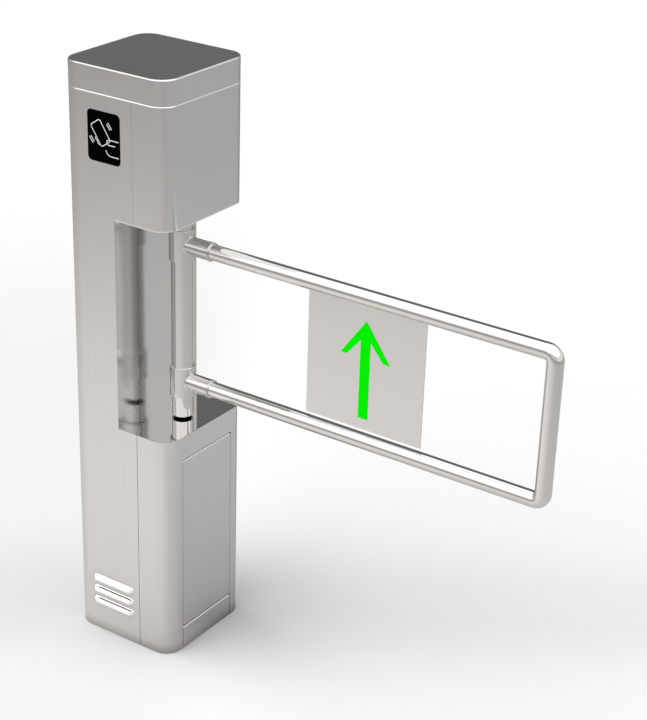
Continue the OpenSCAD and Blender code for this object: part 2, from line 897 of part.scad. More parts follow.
module gear_outline(teeth, turn) {
    pitch_r = gear_module * teeth / 2;
    base_r = pitch_r * cos(pressure);
    tip_r = pitch_r + gear_module;
    root_r = pitch_r - 1.25 * gear_module;
    side = flank(pitch_r, max(base_r, root_r), tip_r);
    foot_half = tooth_half(max(base_r, root_r), pitch_r, base_r);
    polygon([
        for (i = [0:teeth - 1]) let (mid = turn + i * 360 / teeth) each concat(
            [at_angle(root_r, mid - foot_half)],
            [for (k = [0:flank_steps]) at_angle(side[k][0], mid - side[k][1])],
            [for (k = [flank_steps:-1:0]) at_angle(side[k][0], mid + side[k][1])],
            [at_angle(root_r, mid + foot_half)])]);
}

// Pinion in one piece with the gearbox's output shaft
module drive_pinion() {
    half_tooth = 180 / pinion_teeth;
    shaft_z0 = gearbox_top_z - output_depth + running_gap;
    shaft_z1 = gear_z + gear_w + output_d / 3;
    color(MACHINED) translate([motor_x, 0, 0]) {
        translate([0, 0, gear_z]) linear_extrude(gear_w)
            gear_outline(pinion_teeth, half_tooth);
        translate([0, 0, shaft_z0]) cylinder(d = output_d, h = shaft_z1 - shaft_z0);
    }
}

// Gear on the main shaft, with its hub
hub_d = 40;

module driven_gear() {
    color(MACHINED) translate([post_x, 0, gear_z]) difference() {
        union() {
            linear_extrude(gear_w) gear_outline(wheel_teeth, 0);
            cylinder(d = hub_d, h = gear_w + hub_h);
        }
        translate([0, 0, -through]) cylinder(d = shaft_d + 2 * fit, h = column_h);
    }
}

// Flanged cup for a ball bearing, standing on its flange
housing_wall = 3.5;
housing_d = bearing_od + 2 * housing_wall;
housing_bolt_d = 5;
flange_t = 5;

module at_housing_bolts(z) {
    for (k = [0:3])
        translate([post_x, 0, z]) rotate(45 + 90 * k) translate([housing_pcd / 2, 0, 0])
            children();
}

module bearing_housing(z) {
    color(CAST) difference() {
        translate([post_x, 0, z]) {
            cylinder(d = housing_flange_d, h = flange_t);
            cylinder(d = housing_d, h = housing_h);
        }
        translate([post_x, 0, z - through])
            cylinder(d = bearing_od - 2 * housing_wall, h = housing_h + 2 * through);
        translate([post_x, 0, z + seat_t])
            cylinder(d = bearing_od + 2 * fit, h = housing_h);
        at_housing_bolts(z - through)
            cylinder(d = housing_bolt_d, h = flange_t + 2 * through);
    }
}

module upper_housing() bearing_housing(recess_top_z + plate_t);
module lower_housing() bearing_housing(deck_z);

// Ball bearing: the outer ring with its balls, and the inner ring by itself
pitch_d = (bearing_bore + bearing_od) / 2;
ball_count = 8;
race_wall = 4.2;

module groove() {
    translate([0, 0, bearing_w / 2]) rotate_extrude()
        translate([pitch_d / 2, 0]) circle(ball_d / 2 + running_gap);
}

module bearing_outer(z) {
    color(MACHINED) translate([post_x, 0, z]) {
        difference() {
            tube(bearing_od, bearing_od - 2 * race_wall, bearing_w);
            groove();
        }
        for (k = [0:ball_count - 1]) rotate(k * 360 / ball_count)
            translate([pitch_d / 2, 0, bearing_w / 2]) sphere(d = ball_d);
    }
}

module bearing_inner(z) {
    color(MACHINED) translate([post_x, 0, z]) difference() {
        tube(bearing_bore + 2 * race_wall, bearing_bore + 2 * fit, bearing_w);
        groove();
    }
}

upper_bearing_z = recess_top_z + plate_t + seat_t;
lower_bearing_z = deck_z + seat_t;

module upper_bearing() bearing_outer(upper_bearing_z);
module upper_race() bearing_inner(upper_bearing_z);
module lower_bearing() bearing_outer(lower_bearing_z);
module lower_race() bearing_inner(lower_bearing_z);

// Bolts of both bearing housings
module housing_bolts() {
    color(MACHINED) {
        at_housing_bolts(recess_top_z + plate_t + flange_t)
            cap_screw(housing_bolt_d - 2 * fit, flange_t + plate_t);
        at_housing_bolts(deck_z + flange_t)
            cap_screw(housing_bolt_d - 2 * fit, flange_t + deck_t);
    }
}

// Lever on the shaft and the two padded posts that stop it a quarter turn either way
lever_w = 10;
lever_reach = 38;
buffer_d = 16;
post_stop_d = 10;
buffer_at = 30;

module stop_lever() {
    color(MACHINED) translate([post_x, 0, lever_z]) difference() {
        union() {
            cylinder(d = hub_d, h = lever_h);
            translate([-lever_reach, -lever_w / 2, 0]) cube([lever_reach, lever_w, lever_h]);
        }
        translate([0, 0, -through]) cylinder(d = shaft_d + 2 * fit, h = column_h);
    }
}

module at_stop_posts() {
    for (sy = [-1, 1])
        translate([post_x + lever_w / 2 + running_gap + buffer_d / 2, sy * buffer_at, 0])
            children();
}

buffer_over = 2;

module stop_posts() {
    foot_z = lever_z - buffer_over - 1;
    color(MACHINED) at_stop_posts() translate([0, 0, foot_z])
        cylinder(d = post_stop_d, h = recess_floor_z - plate_t - foot_z);
}

module stop_buffers() {
    color(BLACK) at_stop_posts() translate([0, 0, lever_z - buffer_over])
        tube(buffer_d, post_stop_d + 2 * fit, lever_h + 2 * buffer_over);
}

// Notched disc on the shaft, and the three fork sensors that read it
disc_d = 46;
disc_hub_d = shaft_d + 8;
disc_hub_h = 6;
notch_r = 20;
notch_w = 4;
sensor_w = 11;
sensor_depth = 16;
sensor_foot_t = 4;
sensor_slot_gap = 1;

module position_disc() {
    color(DARK) translate([post_x, 0, disc_z]) difference() {
        union() {
            cylinder(d = disc_d, h = disc_t);
            translate([0, 0, disc_t]) cylinder(d = disc_hub_d, h = disc_hub_h);
        }
        translate([0, 0, -through]) cylinder(d = shaft_d + 2 * fit, h = column_h);
        rotate(180) translate([notch_r, -notch_w / 2, -through])
            cube([disc_d, notch_w, 2 * through]);
    }
}

module position_sensors() {
    sensor_r = notch_r - sensor_slot_gap;
    sensor_z = disc_z - sensor_foot_t;
    top_z = recess_floor_z - plate_t;
    color(BLACK) for (a = [140, 180, 220])
        translate([post_x, 0, sensor_z]) rotate(a) difference() {
            translate([sensor_r, -sensor_w / 2, 0])
                cube([sensor_depth, sensor_w, top_z - sensor_z]);
            translate([sensor_r - through, -sensor_w, sensor_foot_t - sensor_slot_gap])
                cube([disc_d / 2 + sensor_slot_gap - sensor_r + through, 2 * sensor_w,
                    disc_t + 2 * sensor_slot_gap]);
        }
}

// Black ring that closes the shaft's hole under the post
module dust_ring() {
    color(BLACK) translate([post_x, 0, recess_floor_z])
        tube(ring_d, shaft_d + 2 * running_gap, ring_h);
}

// Stepped shaft from the lower bearing to the upper one
shaft_end = 6;

module main_shaft() {
    foot_end_z = lower_bearing_z - shaft_end;
    shoulder_z = lower_bearing_z + bearing_w;
    neck_z = upper_bearing_z;
    top_end_z = upper_bearing_z + bearing_w + shaft_end;
    color(MACHINED) translate([post_x, 0, 0]) {
        translate([0, 0, foot_end_z]) cylinder(d = bearing_bore, h = top_end_z - foot_end_z);
        translate([0, 0, shoulder_z]) cylinder(d = shaft_d, h = neck_z - shoulder_z);
    }
}

// Bright post that turns in the recess
post_z = recess_floor_z + ring_h + post_end_gap;
post_h = recess_h - ring_h - 2 * post_end_gap;

module pivot_post() {
    color(POLISHED) translate([post_x, 0, post_z]) tube(post_d, post_d - 2 * post_wall, post_h);
}

// Plugs that hold the post on the shaft
plug_h = 14;

module post_plugs() {
    color(MACHINED) for (z = [post_z, post_z + post_h - plug_h])
        translate([post_x, 0, z])
            tube(post_d - 2 * post_wall - 2 * fit, shaft_d + 2 * fit, plug_h);
}

// Collar round the post with a socket for one rail
socket_floor = 0.5;
socket_seat = collar_d / 2 + socket_floor;

module collar(z) {
    color(POLISHED) translate([post_x, 0, z]) difference() {
        union() {
            translate([0, 0, -collar_h / 2]) cylinder(d = collar_d, h = collar_h);
            rotate([0, 90, 0]) {
                cylinder(d = socket_d, h = socket_reach);
                translate([0, 0, socket_reach - lip_w])
                    cylinder(d = socket_d + 2 * lip_rise, h = lip_w);
            }
        }
        translate([0, 0, -collar_h]) cylinder(d = post_d + 2 * fit, h = 2 * collar_h);
        rotate([0, 90, 0]) translate([0, 0, socket_seat])
            cylinder(d = rail_d + 2 * fit, h = socket_reach);
        at_set_screws() cylinder(d = set_screw_d, h = collar_d);
    }
}

module upper_collar() collar(top_rail_z);
module lower_collar() collar(low_rail_z);

// Grub screws behind each collar, two to a collar
set_screw_d = 5;
set_screw_at = collar_h / 4;

module at_set_screws() {
    for (s = [-1, 1]) translate([0, 0, s * set_screw_at]) rotate([0, -90, 0]) children();
}

module collar_screws() {
    screw_len = collar_d / 2 - post_d / 2;
    color(MACHINED) for (z = [low_rail_z, top_rail_z]) translate([post_x, 0, z])
        at_set_screws() translate([0, 0, post_d / 2 + fit]) difference() {
            cylinder(d = set_screw_d - 2 * fit, h = screw_len);
            translate([0, 0, screw_len / 2]) cylinder(d = set_screw_d / 2, h = collar_d, $fn = 6);
        }
}

// Rails, elbows and end tube of the wing
module rail(z) {
    rail_x = post_x + socket_seat;
    color(POLISHED) translate([rail_x, 0, z]) rotate([0, 90, 0])
        tube(rail_d, rail_d - 2 * rail_wall, end_x - elbow_r - rail_x);
}

module top_rail() rail(top_rail_z);
module bottom_rail() rail(low_rail_z);

// Quarter of a ring in the wing's plane, from the rail's end up or down to the end tube
module elbow() {
    rotate([90, 0, 0]) rotate_extrude(angle = 90) translate([elbow_r, 0]) difference() {
        circle(d = rail_d);
        circle(d = rail_d - 2 * rail_wall);
    }
}

module corner_elbows() {
    color(POLISHED) {
        translate([end_x - elbow_r, 0, top_rail_z - elbow_r]) elbow();
        translate([end_x - elbow_r, 0, low_rail_z + elbow_r]) mirror([0, 0, 1]) elbow();
    }
}

module end_tube() {
    color(POLISHED) translate([end_x, 0, low_rail_z + elbow_r])
        tube(rail_d, rail_d - 2 * rail_wall, top_rail_z - low_rail_z - 2 * elbow_r);
}

// Plate that hangs from the top rail and ends just over the bottom rail
panel_z0 = low_rail_z + rail_d / 2 + panel_rise;
panel_z1 = top_rail_z - rail_d / 2 - fit;

module panel_plate() {
    color(BRUSHED) translate([panel_x - panel_w / 2, -panel_t / 2, panel_z0])
        cube([panel_w, panel_t, panel_z1 - panel_z0]);
}

// Arrow on the panel's front
module arrow_sign() {
    mid_z = (low_rail_z + top_rail_z) / 2;
    color(GREEN) translate([panel_x, -panel_t / 2, mid_z]) rotate([90, 0, 0])
        linear_extrude(arrow_t) translate([0, -arrow_h / 2]) {
            barb_y = arrow_h - arrow_head_h;
            half_shaft = arrow_shaft_w / 2;
            polygon([
                [0, arrow_h], [-arrow_w / 2, barb_y], [-arrow_w / 2 + arrow_barb_w, barb_y],
                [-half_shaft, barb_y + arrow_notch_h], [-half_shaft, 0], [half_shaft, 0],
                [half_shaft, barb_y + arrow_notch_h],
                [arrow_w / 2 - arrow_barb_w, barb_y], [arrow_w / 2, barb_y]]);
        }
}

base_plate();
spine_shell();
lower_wrap();
head_wrap();
kick_plate();
door_header();
door_stop();
door_pins();
door_catches();
access_door();
recess_wall();
recess_floor();
recess_ceiling();
lid_rim();
lid();
lid_hook();
lock_barrel();
lock_core();
card_window();
card_reader();
vent_louvres();
control_board();
board_standoffs();
board_components();
power_supply();
terminal_block();
cable_duct();
drive_deck();
deck_studs();
gearbox();
drive_motor();
motor_brake();
drive_pinion();
gearbox_screws();
upper_housing();
upper_bearing();
upper_race();
lower_housing();
lower_bearing();
lower_race();
housing_bolts();
stop_posts();
stop_buffers();
position_sensors();
dust_ring();
main_shaft();
pivot_post();
post_plugs();
upper_collar();
lower_collar();
collar_screws();
top_rail();
bottom_rail();
corner_elbows();
end_tube();
panel_plate();
arrow_sign();
driven_gear();
stop_lever();
position_disc();
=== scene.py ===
"""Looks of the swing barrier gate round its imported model: metres, +Z up, closed wing to +X."""

import json

import bpy
import numpy as np
from mathutils import Matrix, Vector


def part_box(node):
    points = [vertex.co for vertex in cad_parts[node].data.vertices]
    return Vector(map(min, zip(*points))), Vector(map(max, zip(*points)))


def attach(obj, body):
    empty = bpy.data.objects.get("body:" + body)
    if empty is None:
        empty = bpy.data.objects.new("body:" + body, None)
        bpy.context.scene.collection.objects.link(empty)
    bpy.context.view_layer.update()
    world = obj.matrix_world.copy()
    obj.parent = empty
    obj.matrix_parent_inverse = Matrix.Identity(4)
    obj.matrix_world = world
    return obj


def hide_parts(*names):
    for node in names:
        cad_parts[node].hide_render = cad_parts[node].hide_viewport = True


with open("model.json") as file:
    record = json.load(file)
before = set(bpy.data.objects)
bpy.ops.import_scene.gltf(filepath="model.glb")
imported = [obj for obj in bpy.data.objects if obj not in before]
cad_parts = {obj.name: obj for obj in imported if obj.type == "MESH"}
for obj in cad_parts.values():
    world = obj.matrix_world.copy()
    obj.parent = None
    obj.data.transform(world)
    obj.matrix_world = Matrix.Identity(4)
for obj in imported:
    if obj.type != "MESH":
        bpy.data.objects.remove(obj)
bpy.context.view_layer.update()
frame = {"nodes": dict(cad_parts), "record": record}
scene = bpy.context.scene
scene.view_settings.view_transform = "Standard"
MM = 0.001

# Camera: its angles in degrees, focal length in mm and place in m fit the photograph's edges
turn, tilt, roll = np.radians([33.640, 25.2546, 1.879])
focal_length, sensor_width = 89.632, 36
camera_place = (1.66405, -2.02073, 1.71643)
to_camera = np.array([np.sin(turn), -np.cos(turn), 0])
to_right = np.array([np.cos(turn), np.sin(turn), 0])
back = np.cos(tilt) * to_camera + (0, 0, np.sin(tilt))
upward = np.cross(back, to_right)
right = np.cos(roll) * to_right + np.sin(roll) * upward
camera_up = np.cos(roll) * upward - np.sin(roll) * to_right
lens = bpy.data.cameras.new("camera")
lens.lens, lens.sensor_width = focal_length, sensor_width
lens.clip_start, lens.clip_end = 0.05, 200
camera = bpy.data.objects.new("camera", lens)
scene.collection.objects.link(camera)
axes = Matrix((right, camera_up, back)).transposed()
camera.matrix_world = Matrix.Translation(camera_place) @ axes.to_4x4()
scene.camera = camera


# Shader maths
class Value:
    """A socket that takes part in sums: an expression on values adds its Math nodes."""

    def __init__(self, nodes, socket):
        self.nodes, self.socket = nodes, socket

    def maths(self, operation, *terms):
        return self.nodes.add("ShaderNodeMath", {"operation": operation}, dict(enumerate(terms)))

    def __add__(self, other):
        return self.maths("ADD", self, other)

    def __sub__(self, other):
        return self.maths("SUBTRACT", self, other)

    def __rsub__(self, other):
        return self.maths("SUBTRACT", other, self)

    def __mul__(self, other):
        return self.maths("MULTIPLY", self, other)

    def __truediv__(self, other):
        return self.maths("DIVIDE", self, other)

    def __pow__(self, other):
        return self.maths("POWER", self, other)

    __radd__ = __add__
    __rmul__ = __mul__


class Nodes:
    """The node tree of a material or world, emptied at the start."""

    def __init__(self, owner):
        owner.use_nodes = True
        self.tree = owner.node_tree
        self.tree.nodes.clear()

    def add(self, kind, settings=None, inputs=None, out=0):
        """Makes a node of any type: first its settings, then the values or links of its inputs."""
        node = self.tree.nodes.new(kind)
        for name, value in (settings or {}).items():
            if name == "stops":
                while len(node.color_ramp.elements) < len(value):
                    node.color_ramp.elements.new(0.5)
                for stop, (place, colour) in zip(node.color_ramp.elements, value):
                    stop.position, stop.color = place, (*colour, 1.0)
            else:
                setattr(node, name, value)
        for key, value in (inputs or {}).items():
            if isinstance(value, Value):
                self.tree.links.new(value.socket, node.inputs[key])
            elif node.inputs[key].type == "RGBA" and len(value) == 3:
                node.inputs[key].default_value = (*value, 1.0)
            else:
                node.inputs[key].default_value = value
        return Value(self, node.outputs[out]) if len(node.outputs) else None


# Stage: a pale floor, a plain studio sky and one soft key light
def ramp(value, low, high):
    """0 below low, 1 above high, and a smooth cubic step between them."""
    return value.nodes.add("ShaderNodeMapRange", {"interpolation_type": "SMOOTHSTEP"},
                           {"Value": value, "From Min": low, "From Max": high})


def colour_between(share, a, b):
    """The colour a where share is 0, b where it is 1."""
    return share.nodes.add("ShaderNodeMix", {"data_type": "RGBA"},
                           {0: share, 6: a, 7: b}, out=2)


def path_kind(nodes, name):
    """1 for rays of that kind, else 0."""
    kinds = ["Is Camera Ray", "Is Shadow Ray", "Is Diffuse Ray", "Is Glossy Ray"]
    return nodes.add("ShaderNodeLightPath", out=kinds.index(name))


def parts_of(vector):
    """The x, y and z of a vector, as values."""
    first = vector.nodes.add("ShaderNodeSeparateXYZ", None, {0: vector})
    return [Value(vector.nodes, socket) for socket in first.socket.node.outputs]


def azimuth_of(vector):
    """The horizontal angle of a vector: 0 to 1 for once round, from -X by -Y, +X and +Y."""
    return vector.nodes.add("ShaderNodeTexGradient", {"gradient_type": "RADIAL"},
                            {"Vector": vector}, out=1)


def object_place(nodes):
    """The point that is shaded, in metres in the part's frame."""
    return nodes.add("ShaderNodeTexCoord", out=3)


def levels_along(value, stops, tint=(1.0, 1.0, 1.0)):
    """A tint times a level that runs through stops of (value from 0 to 1, level)."""
    return value.nodes.add("ShaderNodeValToRGB", {"stops": [
        (place, tuple(level * part for part in tint)) for place, level in stops]}, {0: value})


def build_sky():
    """Studio sky: white overhead; lower down a soft box in front on the left, dark behind.

    On the camera's side the white reaches further down. Only metal sees all this: the camera
    sees plain white, and the floor is lit by an even sky.
    """
    world = bpy.data.worlds.new("studio")
    scene.world = world
    nodes = Nodes(world)
    direction = nodes.add("ShaderNodeTexCoord", out=0)
    z = parts_of(direction)[2]
    azimuth = azimuth_of(direction)
    white, facing_white, strip_white = (1.7, 1.7, 1.68), (1.65, 1.65, 1.63), (1.3, 1.3, 1.28)
    box_foot, box_top, side = (0.47, 0.46, 0.45), (1.75, 1.75, 1.73), (0.50, 0.49, 0.48)
    grey, dim, dark = (0.96, 0.95, 0.935), (0.80, 0.785, 0.77), (0.166, 0.166, 0.166)
    around = nodes.add("ShaderNodeValToRGB", {"stops": [
        (0.000, side), (0.115, dim), (0.410, dim), (0.425, strip_white), (0.440, grey),
        (0.690, grey), (0.790, dark), (0.920, dark), (1.000, side)]}, {0: azimuth})
    box = colour_between(ramp(z, 0.04, 0.46), box_foot, box_top)
    in_box = ramp(azimuth, 0.095, 0.120) * (1.0 - ramp(azimuth, 0.240, 0.275))
    facing = ramp(azimuth, 0.22, 0.27) * (1.0 - ramp(azimuth, 0.57, 0.63))
    low_sky = colour_between(in_box, around, box)
    low_sky = colour_between(facing * ramp(z, 0.36, 0.43), low_sky, facing_white)
    behind = ramp(azimuth, 0.72, 0.80) * (1.0 - ramp(azimuth, 0.90, 0.97))
    overhead = ramp(z - behind * 0.15, 0.58, 0.66)
    seen_in_metal = colour_between(overhead, low_sky, white)
    mirrored = nodes.add("ShaderNodeBackground", None, {"Color": seen_in_metal})
    even = nodes.add("ShaderNodeBackground", None, {"Color": (1.0, 1.0, 1.0), "Strength": 0.47})
    backdrop = nodes.add("ShaderNodeBackground", None, {"Color": (1.0, 1.0, 1.0)})
    lighting = nodes.add("ShaderNodeMixShader", None,
                         {0: path_kind(nodes, "Is Glossy Ray"), 1: even, 2: mirrored})
    final = nodes.add("ShaderNodeMixShader", None,
                      {0: path_kind(nodes, "Is Camera Ray"), 1: lighting, 2: backdrop})
    nodes.add("ShaderNodeOutputWorld", None, {"Surface": final})


def build_floor():
    """Pale floor; metal sees it warm and bright in front, cooler and greyer behind.

    Distances and the floor's half width are in metres.
    """
    size, seen = 30.0, 4.0
    mesh = bpy.data.meshes.new("floor")
    mesh.from_pydata([(-size, -size, 0), (size, -size, 0), (size, size, 0), (-size, size, 0)],
                     [], [(0, 1, 2, 3)])
    floor = bpy.data.objects.new("floor", mesh)
    scene.collection.objects.link(floor)
    material = bpy.data.materials.new("floor")
    nodes = Nodes(material)
    ground = object_place(nodes)
    x, y = parts_of(ground)[:2]
    away = (x * x + y * y + 0.0001) ** 0.5

    # What metal sees: a level by distance for the front and the back, times one by direction
    warm, cool = (1.0, 0.965, 0.942), (1.0, 0.992, 0.978)
    glow_x, glow_y = -0.559, -0.829
    front_levels = (
        (0.0, 0.75), (0.12, 0.82), (0.2, 0.90), (0.4, 0.985), (0.65, 1.01), (1.05, 0.965),
        (1.35, 0.90), (1.75, 0.79), (2.25, 0.66), (2.8, 0.60), (3.3, 0.57), (3.7, 0.48),
        (seen, 0.42))
    back_levels = (
        (0.0, 0.15), (0.12, 0.26), (0.18, 0.43), (0.25, 0.52), (0.42, 0.60), (0.62, 0.63),
        (0.85, 0.66), (1.5, 0.65), (2.1, 0.58), (2.7, 0.55), (seen, 0.53))
    streak_levels = (
        (0.0, 0.86), (0.08, 0.90), (0.13, 1.0), (0.26, 1.0), (0.30, 1.03), (0.35, 1.0),
        (0.39, 0.95), (0.43, 0.95), (0.47, 1.0), (0.68, 1.0), (0.73, 0.68), (0.90, 0.68),
        (1.0, 0.86))
    front_glow = levels_along(away / seen, [(d / seen, level) for d, level in front_levels], warm)
    back_glow = levels_along(away / seen, [(d / seen, level) for d, level in back_levels], cool)
    streaks = levels_along(azimuth_of(ground), streak_levels)
    front = (x * glow_x + y * glow_y) / away * 0.5 + 0.5
    glow = nodes.add("ShaderNodeMix", {"data_type": "RGBA", "blend_type": "MULTIPLY"},
                     {0: 1.0, 6: colour_between(front, back_glow, front_glow), 7: streaks}, out=2)
    shine = nodes.add("ShaderNodeEmission", None, {"Color": glow})

    # What is seen directly: painted shade greys it in the object's corners, and a painted shadow
    # lies in a soft band beside its foot and to the left of it; further away it is even
    plain_tone, left_shadow_depth, corner_shade_reach, corner_shade_power = 0.945, 0.09, 0.35, 0.24
    painted_shadow_levels = (
        (-0.5, 0.945), (-0.34, 0.945), (-0.26, 0.935), (-0.18, 0.91), (-0.11, 0.88),
        (0.0, 0.872), (0.07, 0.90), (0.13, 0.945), (0.2, 0.97), (0.5, 0.975))
    toward = x * to_camera[0] + y * to_camera[1]
    sideways = x * to_right[0] + y * to_right[1]
    painted_shadow_band = levels_along(toward + 0.5, [(d + 0.5, tone) for d, tone in painted_shadow_levels])
    left_shadow_share = 1.0 - ramp(sideways, -0.06, 0.14)
    far = ramp(away, 1.0, 2.2)
    near_shadow_tone = painted_shadow_band * (1.0 - left_shadow_depth * left_shadow_share)
    # Painted shade: ambient occlusion darkens the floor's colour in the object's corners
    corners = nodes.add("ShaderNodeAmbientOcclusion", {"samples": 8},
                        {"Distance": corner_shade_reach}, out=1)
    tone = corners ** corner_shade_power * (plain_tone * far + near_shadow_tone * (1.0 - far))
    plain = nodes.add("ShaderNodeBsdfDiffuse", None, {"Color": tone})
    final = nodes.add("ShaderNodeMixShader", None,
                      {0: path_kind(nodes, "Is Glossy Ray"), 1: plain, 2: shine})
    nodes.add("ShaderNodeOutputMaterial", None, {"Surface": final})
    mesh.materials.append(material)


def build_light(name, toward, softness, strength):
    """A broad soft light from far off that shines along a direction, unseen in the metal."""
    lamp = bpy.data.lights.new(name, "SUN")
    lamp.angle, lamp.energy = np.radians(softness), strength
    holder = bpy.data.objects.new(name, lamp)
    scene.collection.objects.link(holder)
    holder.rotation_euler = Vector(toward).to_track_quat("-Z", "Y").to_euler()
    holder.visible_glossy = False


build_sky()
build_floor()
build_light("key", (0.60, 0.50, -1.0), 75.0, 2.36)


# Finishes
def metal(name, colour, roughness, grain=0.0, grain_scale=(1, 1, 1), streak=0.0, painted_contact_shade=0.0):
    """Bare metal: its grain is fine noise, stretched along the brushing, in roughness and bump.

    The grain's scale is in waves a metre along x, y and z. Streak is how much darker the colour
    gets in the grain and in wider bands along it. The contact shade is painted shade: how much
    darker the colour is made close under a piece that stands out from it.
    """
    band_share, cloud_scale, uneven = 0.07, 9.0, 0.03
    grain_height, painted_shade_reach = 0.00004, 0.022
    material = bpy.data.materials.new(name)
    nodes = Nodes(material)
    place = object_place(nodes)
    fine = nodes.add("ShaderNodeMapping", None, {"Vector": place, "Scale": grain_scale})
    lines = nodes.add("ShaderNodeTexNoise", None,
                      {"Vector": fine, "Scale": 1.0, "Detail": 3.0, "Roughness": 0.6})
    wide = nodes.add("ShaderNodeMapping", None, {
        "Vector": place, "Scale": tuple(band_share * scale for scale in grain_scale)})
    bands = nodes.add("ShaderNodeTexNoise", None, {"Vector": wide, "Scale": 1.0, "Detail": 2.0})
    cloud = nodes.add("ShaderNodeTexNoise", None,
                      {"Vector": place, "Scale": cloud_scale, "Detail": 2.0})
    darker = tuple(part * (1 - streak) for part in colour)
    shade = colour_between(ramp(lines * 0.4 + bands * 0.6, 0.3, 0.7), darker, colour)
    # Painted shade: the colour darkens where ambient occlusion finds a piece close by
    if painted_contact_shade:
        open_share = nodes.add("ShaderNodeAmbientOcclusion", {"samples": 8},
                               {"Distance": painted_shade_reach}, out=1)
        shade = colour_between((1.0 - open_share) * painted_contact_shade, shade, (0.0, 0.0, 0.0))
    rough = (lines - 0.5) * (grain * 0.25) + (cloud - 0.5) * uneven + roughness
    bump = nodes.add("ShaderNodeBump", None,
                     {"Height": lines, "Strength": min(1.0, grain), "Distance": grain_height})
    surface = nodes.add("ShaderNodeBsdfPrincipled", None, {
        "Base Color": shade, "Metallic": 1.0, "Roughness": rough, "Normal": bump})
    nodes.add("ShaderNodeOutputMaterial", None, {"Surface": surface})
    return material


def plastic(name, colour, roughness, coat=0.0, gloss=0.5, painted_glow=0.0):
    """Moulded plastic, paint or rubber, with a fine cloudy unevenness; a glow painted into its
    colour where one is given.
    """
    cloud_scale, darker_share, uneven = 220.0, 0.85, 0.1
    material = bpy.data.materials.new(name)
    nodes = Nodes(material)
    cloud = nodes.add("ShaderNodeTexNoise", None,
                      {"Vector": object_place(nodes), "Scale": cloud_scale, "Detail": 3.0})
    shade = colour_between(cloud, tuple(darker_share * part for part in colour), colour)
    surface = nodes.add("ShaderNodeBsdfPrincipled", None, {
        "Base Color": shade, "Roughness": (cloud - 0.5) * uneven + roughness, "Coat Weight": coat,
        "Specular IOR Level": gloss, "Emission Color": shade, "Emission Strength": painted_glow})
    nodes.add("ShaderNodeOutputMaterial", None, {"Surface": surface})
    return material


upright_grain, level_grain, cast_grain = (2600, 2600, 26), (26, 2600, 2600), (900, 900, 900)
steel = (0.70, 0.692, 0.682)
finishes = {
    # The casing's last value, 0.85, is painted shade under the louvres and other raised pieces
    "brushed_casing": metal("brushed_casing", steel, 0.24, 0.35, upright_grain, 0.025, 0.85),
    "brushed_door": metal("brushed_door", steel, 0.24, 0.35, upright_grain, 0.025),
    "polished_steel": metal("polished_steel", steel, 0.05, 0.03, level_grain, 0.01),
    # Near-white copy of the polished steel for the louvre hoods: a painted highlight
    "highlight_painted_steel": metal("highlight_painted_steel", (0.98, 0.974, 0.965), 0.04, 0.03, level_grain, 0.01),
    # Lighter copy of the polished steel for the recess ceiling: painted light
    "light_painted_ceiling_steel": metal("light_painted_ceiling_steel", (0.86, 0.853, 0.843), 0.05, 0.03, level_grain, 0.01),
    "satin_steel": metal("satin_steel", (0.655, 0.645, 0.633), 0.155, 0.0, upright_grain, 0.01),
    # Darker copy of the polished steel for the post and collars: painted shade that dims them
    "shade_painted_post_steel": metal("shade_painted_post_steel", (0.615, 0.605, 0.592), 0.06, 0.03, upright_grain, 0.01),
    "brushed_panel": metal("brushed_panel", (0.71, 0.70, 0.69), 0.26, 0.2, level_grain, 0.012),
    "inner_steel": metal("inner_steel", (0.55, 0.55, 0.54), 0.35, 0.3, upright_grain, 0.08),
    "cast_alloy": metal("cast_alloy", (0.62, 0.63, 0.64), 0.5, 0.6, cast_grain, 0.1),
    "motor_paint": plastic("motor_paint", (0.03, 0.03, 0.035), 0.35),
    # The green sign's faint glow is painted light that makes it brighter than its colour alone
    "green_sign": plastic("green_sign", (0.002, 0.90, 0.001), 0.5, 0.0, 0.0, 0.03),
    "black_window": plastic("black_window", (0.0006, 0.0006, 0.0006), 0.3, 0.0, 0.01),
    "white_print": plastic("white_print", (0.82, 0.82, 0.82), 0.5),
    "black_rubber": plastic("black_rubber", (0.002, 0.002, 0.002), 0.6, 0.0, 0.02),
    "dark_plastic": plastic("dark_plastic", (0.03, 0.03, 0.034), 0.45),
    "grey_plastic": plastic("grey_plastic", (0.40, 0.41, 0.42), 0.4),
    "circuit_board": plastic("circuit_board", (0.01, 0.16, 0.06), 0.3, 0.4),
}
# Nodes whose finish differs a little from their slot's; the ceiling's steel is a lighter copy,
# painted light, and the post's a darker copy, painted shade
own_finish = {"recess_wall": "satin_steel", "recess_ceiling": "light_painted_ceiling_steel",
              "pivot_post": "shade_painted_post_steel"}
for part in frame["record"]["subparts"]:
    node = frame["nodes"][part["node"]]
    node.data.materials.clear()
    node.data.materials.append(finishes[own_finish.get(part["node"], part["material_slot"])])


# Shapes, in millimetres in the part's frame, worked out as whole arrays
X, Y, Z = np.eye(3)

# The folded sheets' thickness, the turn in degrees above which an edge is shaded sharp, and how
# far from its edge a flat cap starts, outside and inside
SHEET, SHARP, CAP, INNER_CAP = 1.5, 34, 0.3, 1.0


def span(*nodes):
    """Lowest and highest corner of CAD nodes, in millimetres."""
    corners = np.array([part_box(node) for node in nodes]) / MM
    return corners[:, 0].min(0), corners[:, 1].max(0)


def arc(middle, radius, start, end, steps=8):
    """Points of a circle about middle from one angle to another, in degrees."""
    angle = np.radians(np.linspace(start, end, steps + 1))
    return np.add(middle, radius * np.stack([np.cos(angle), np.sin(angle)], 1))


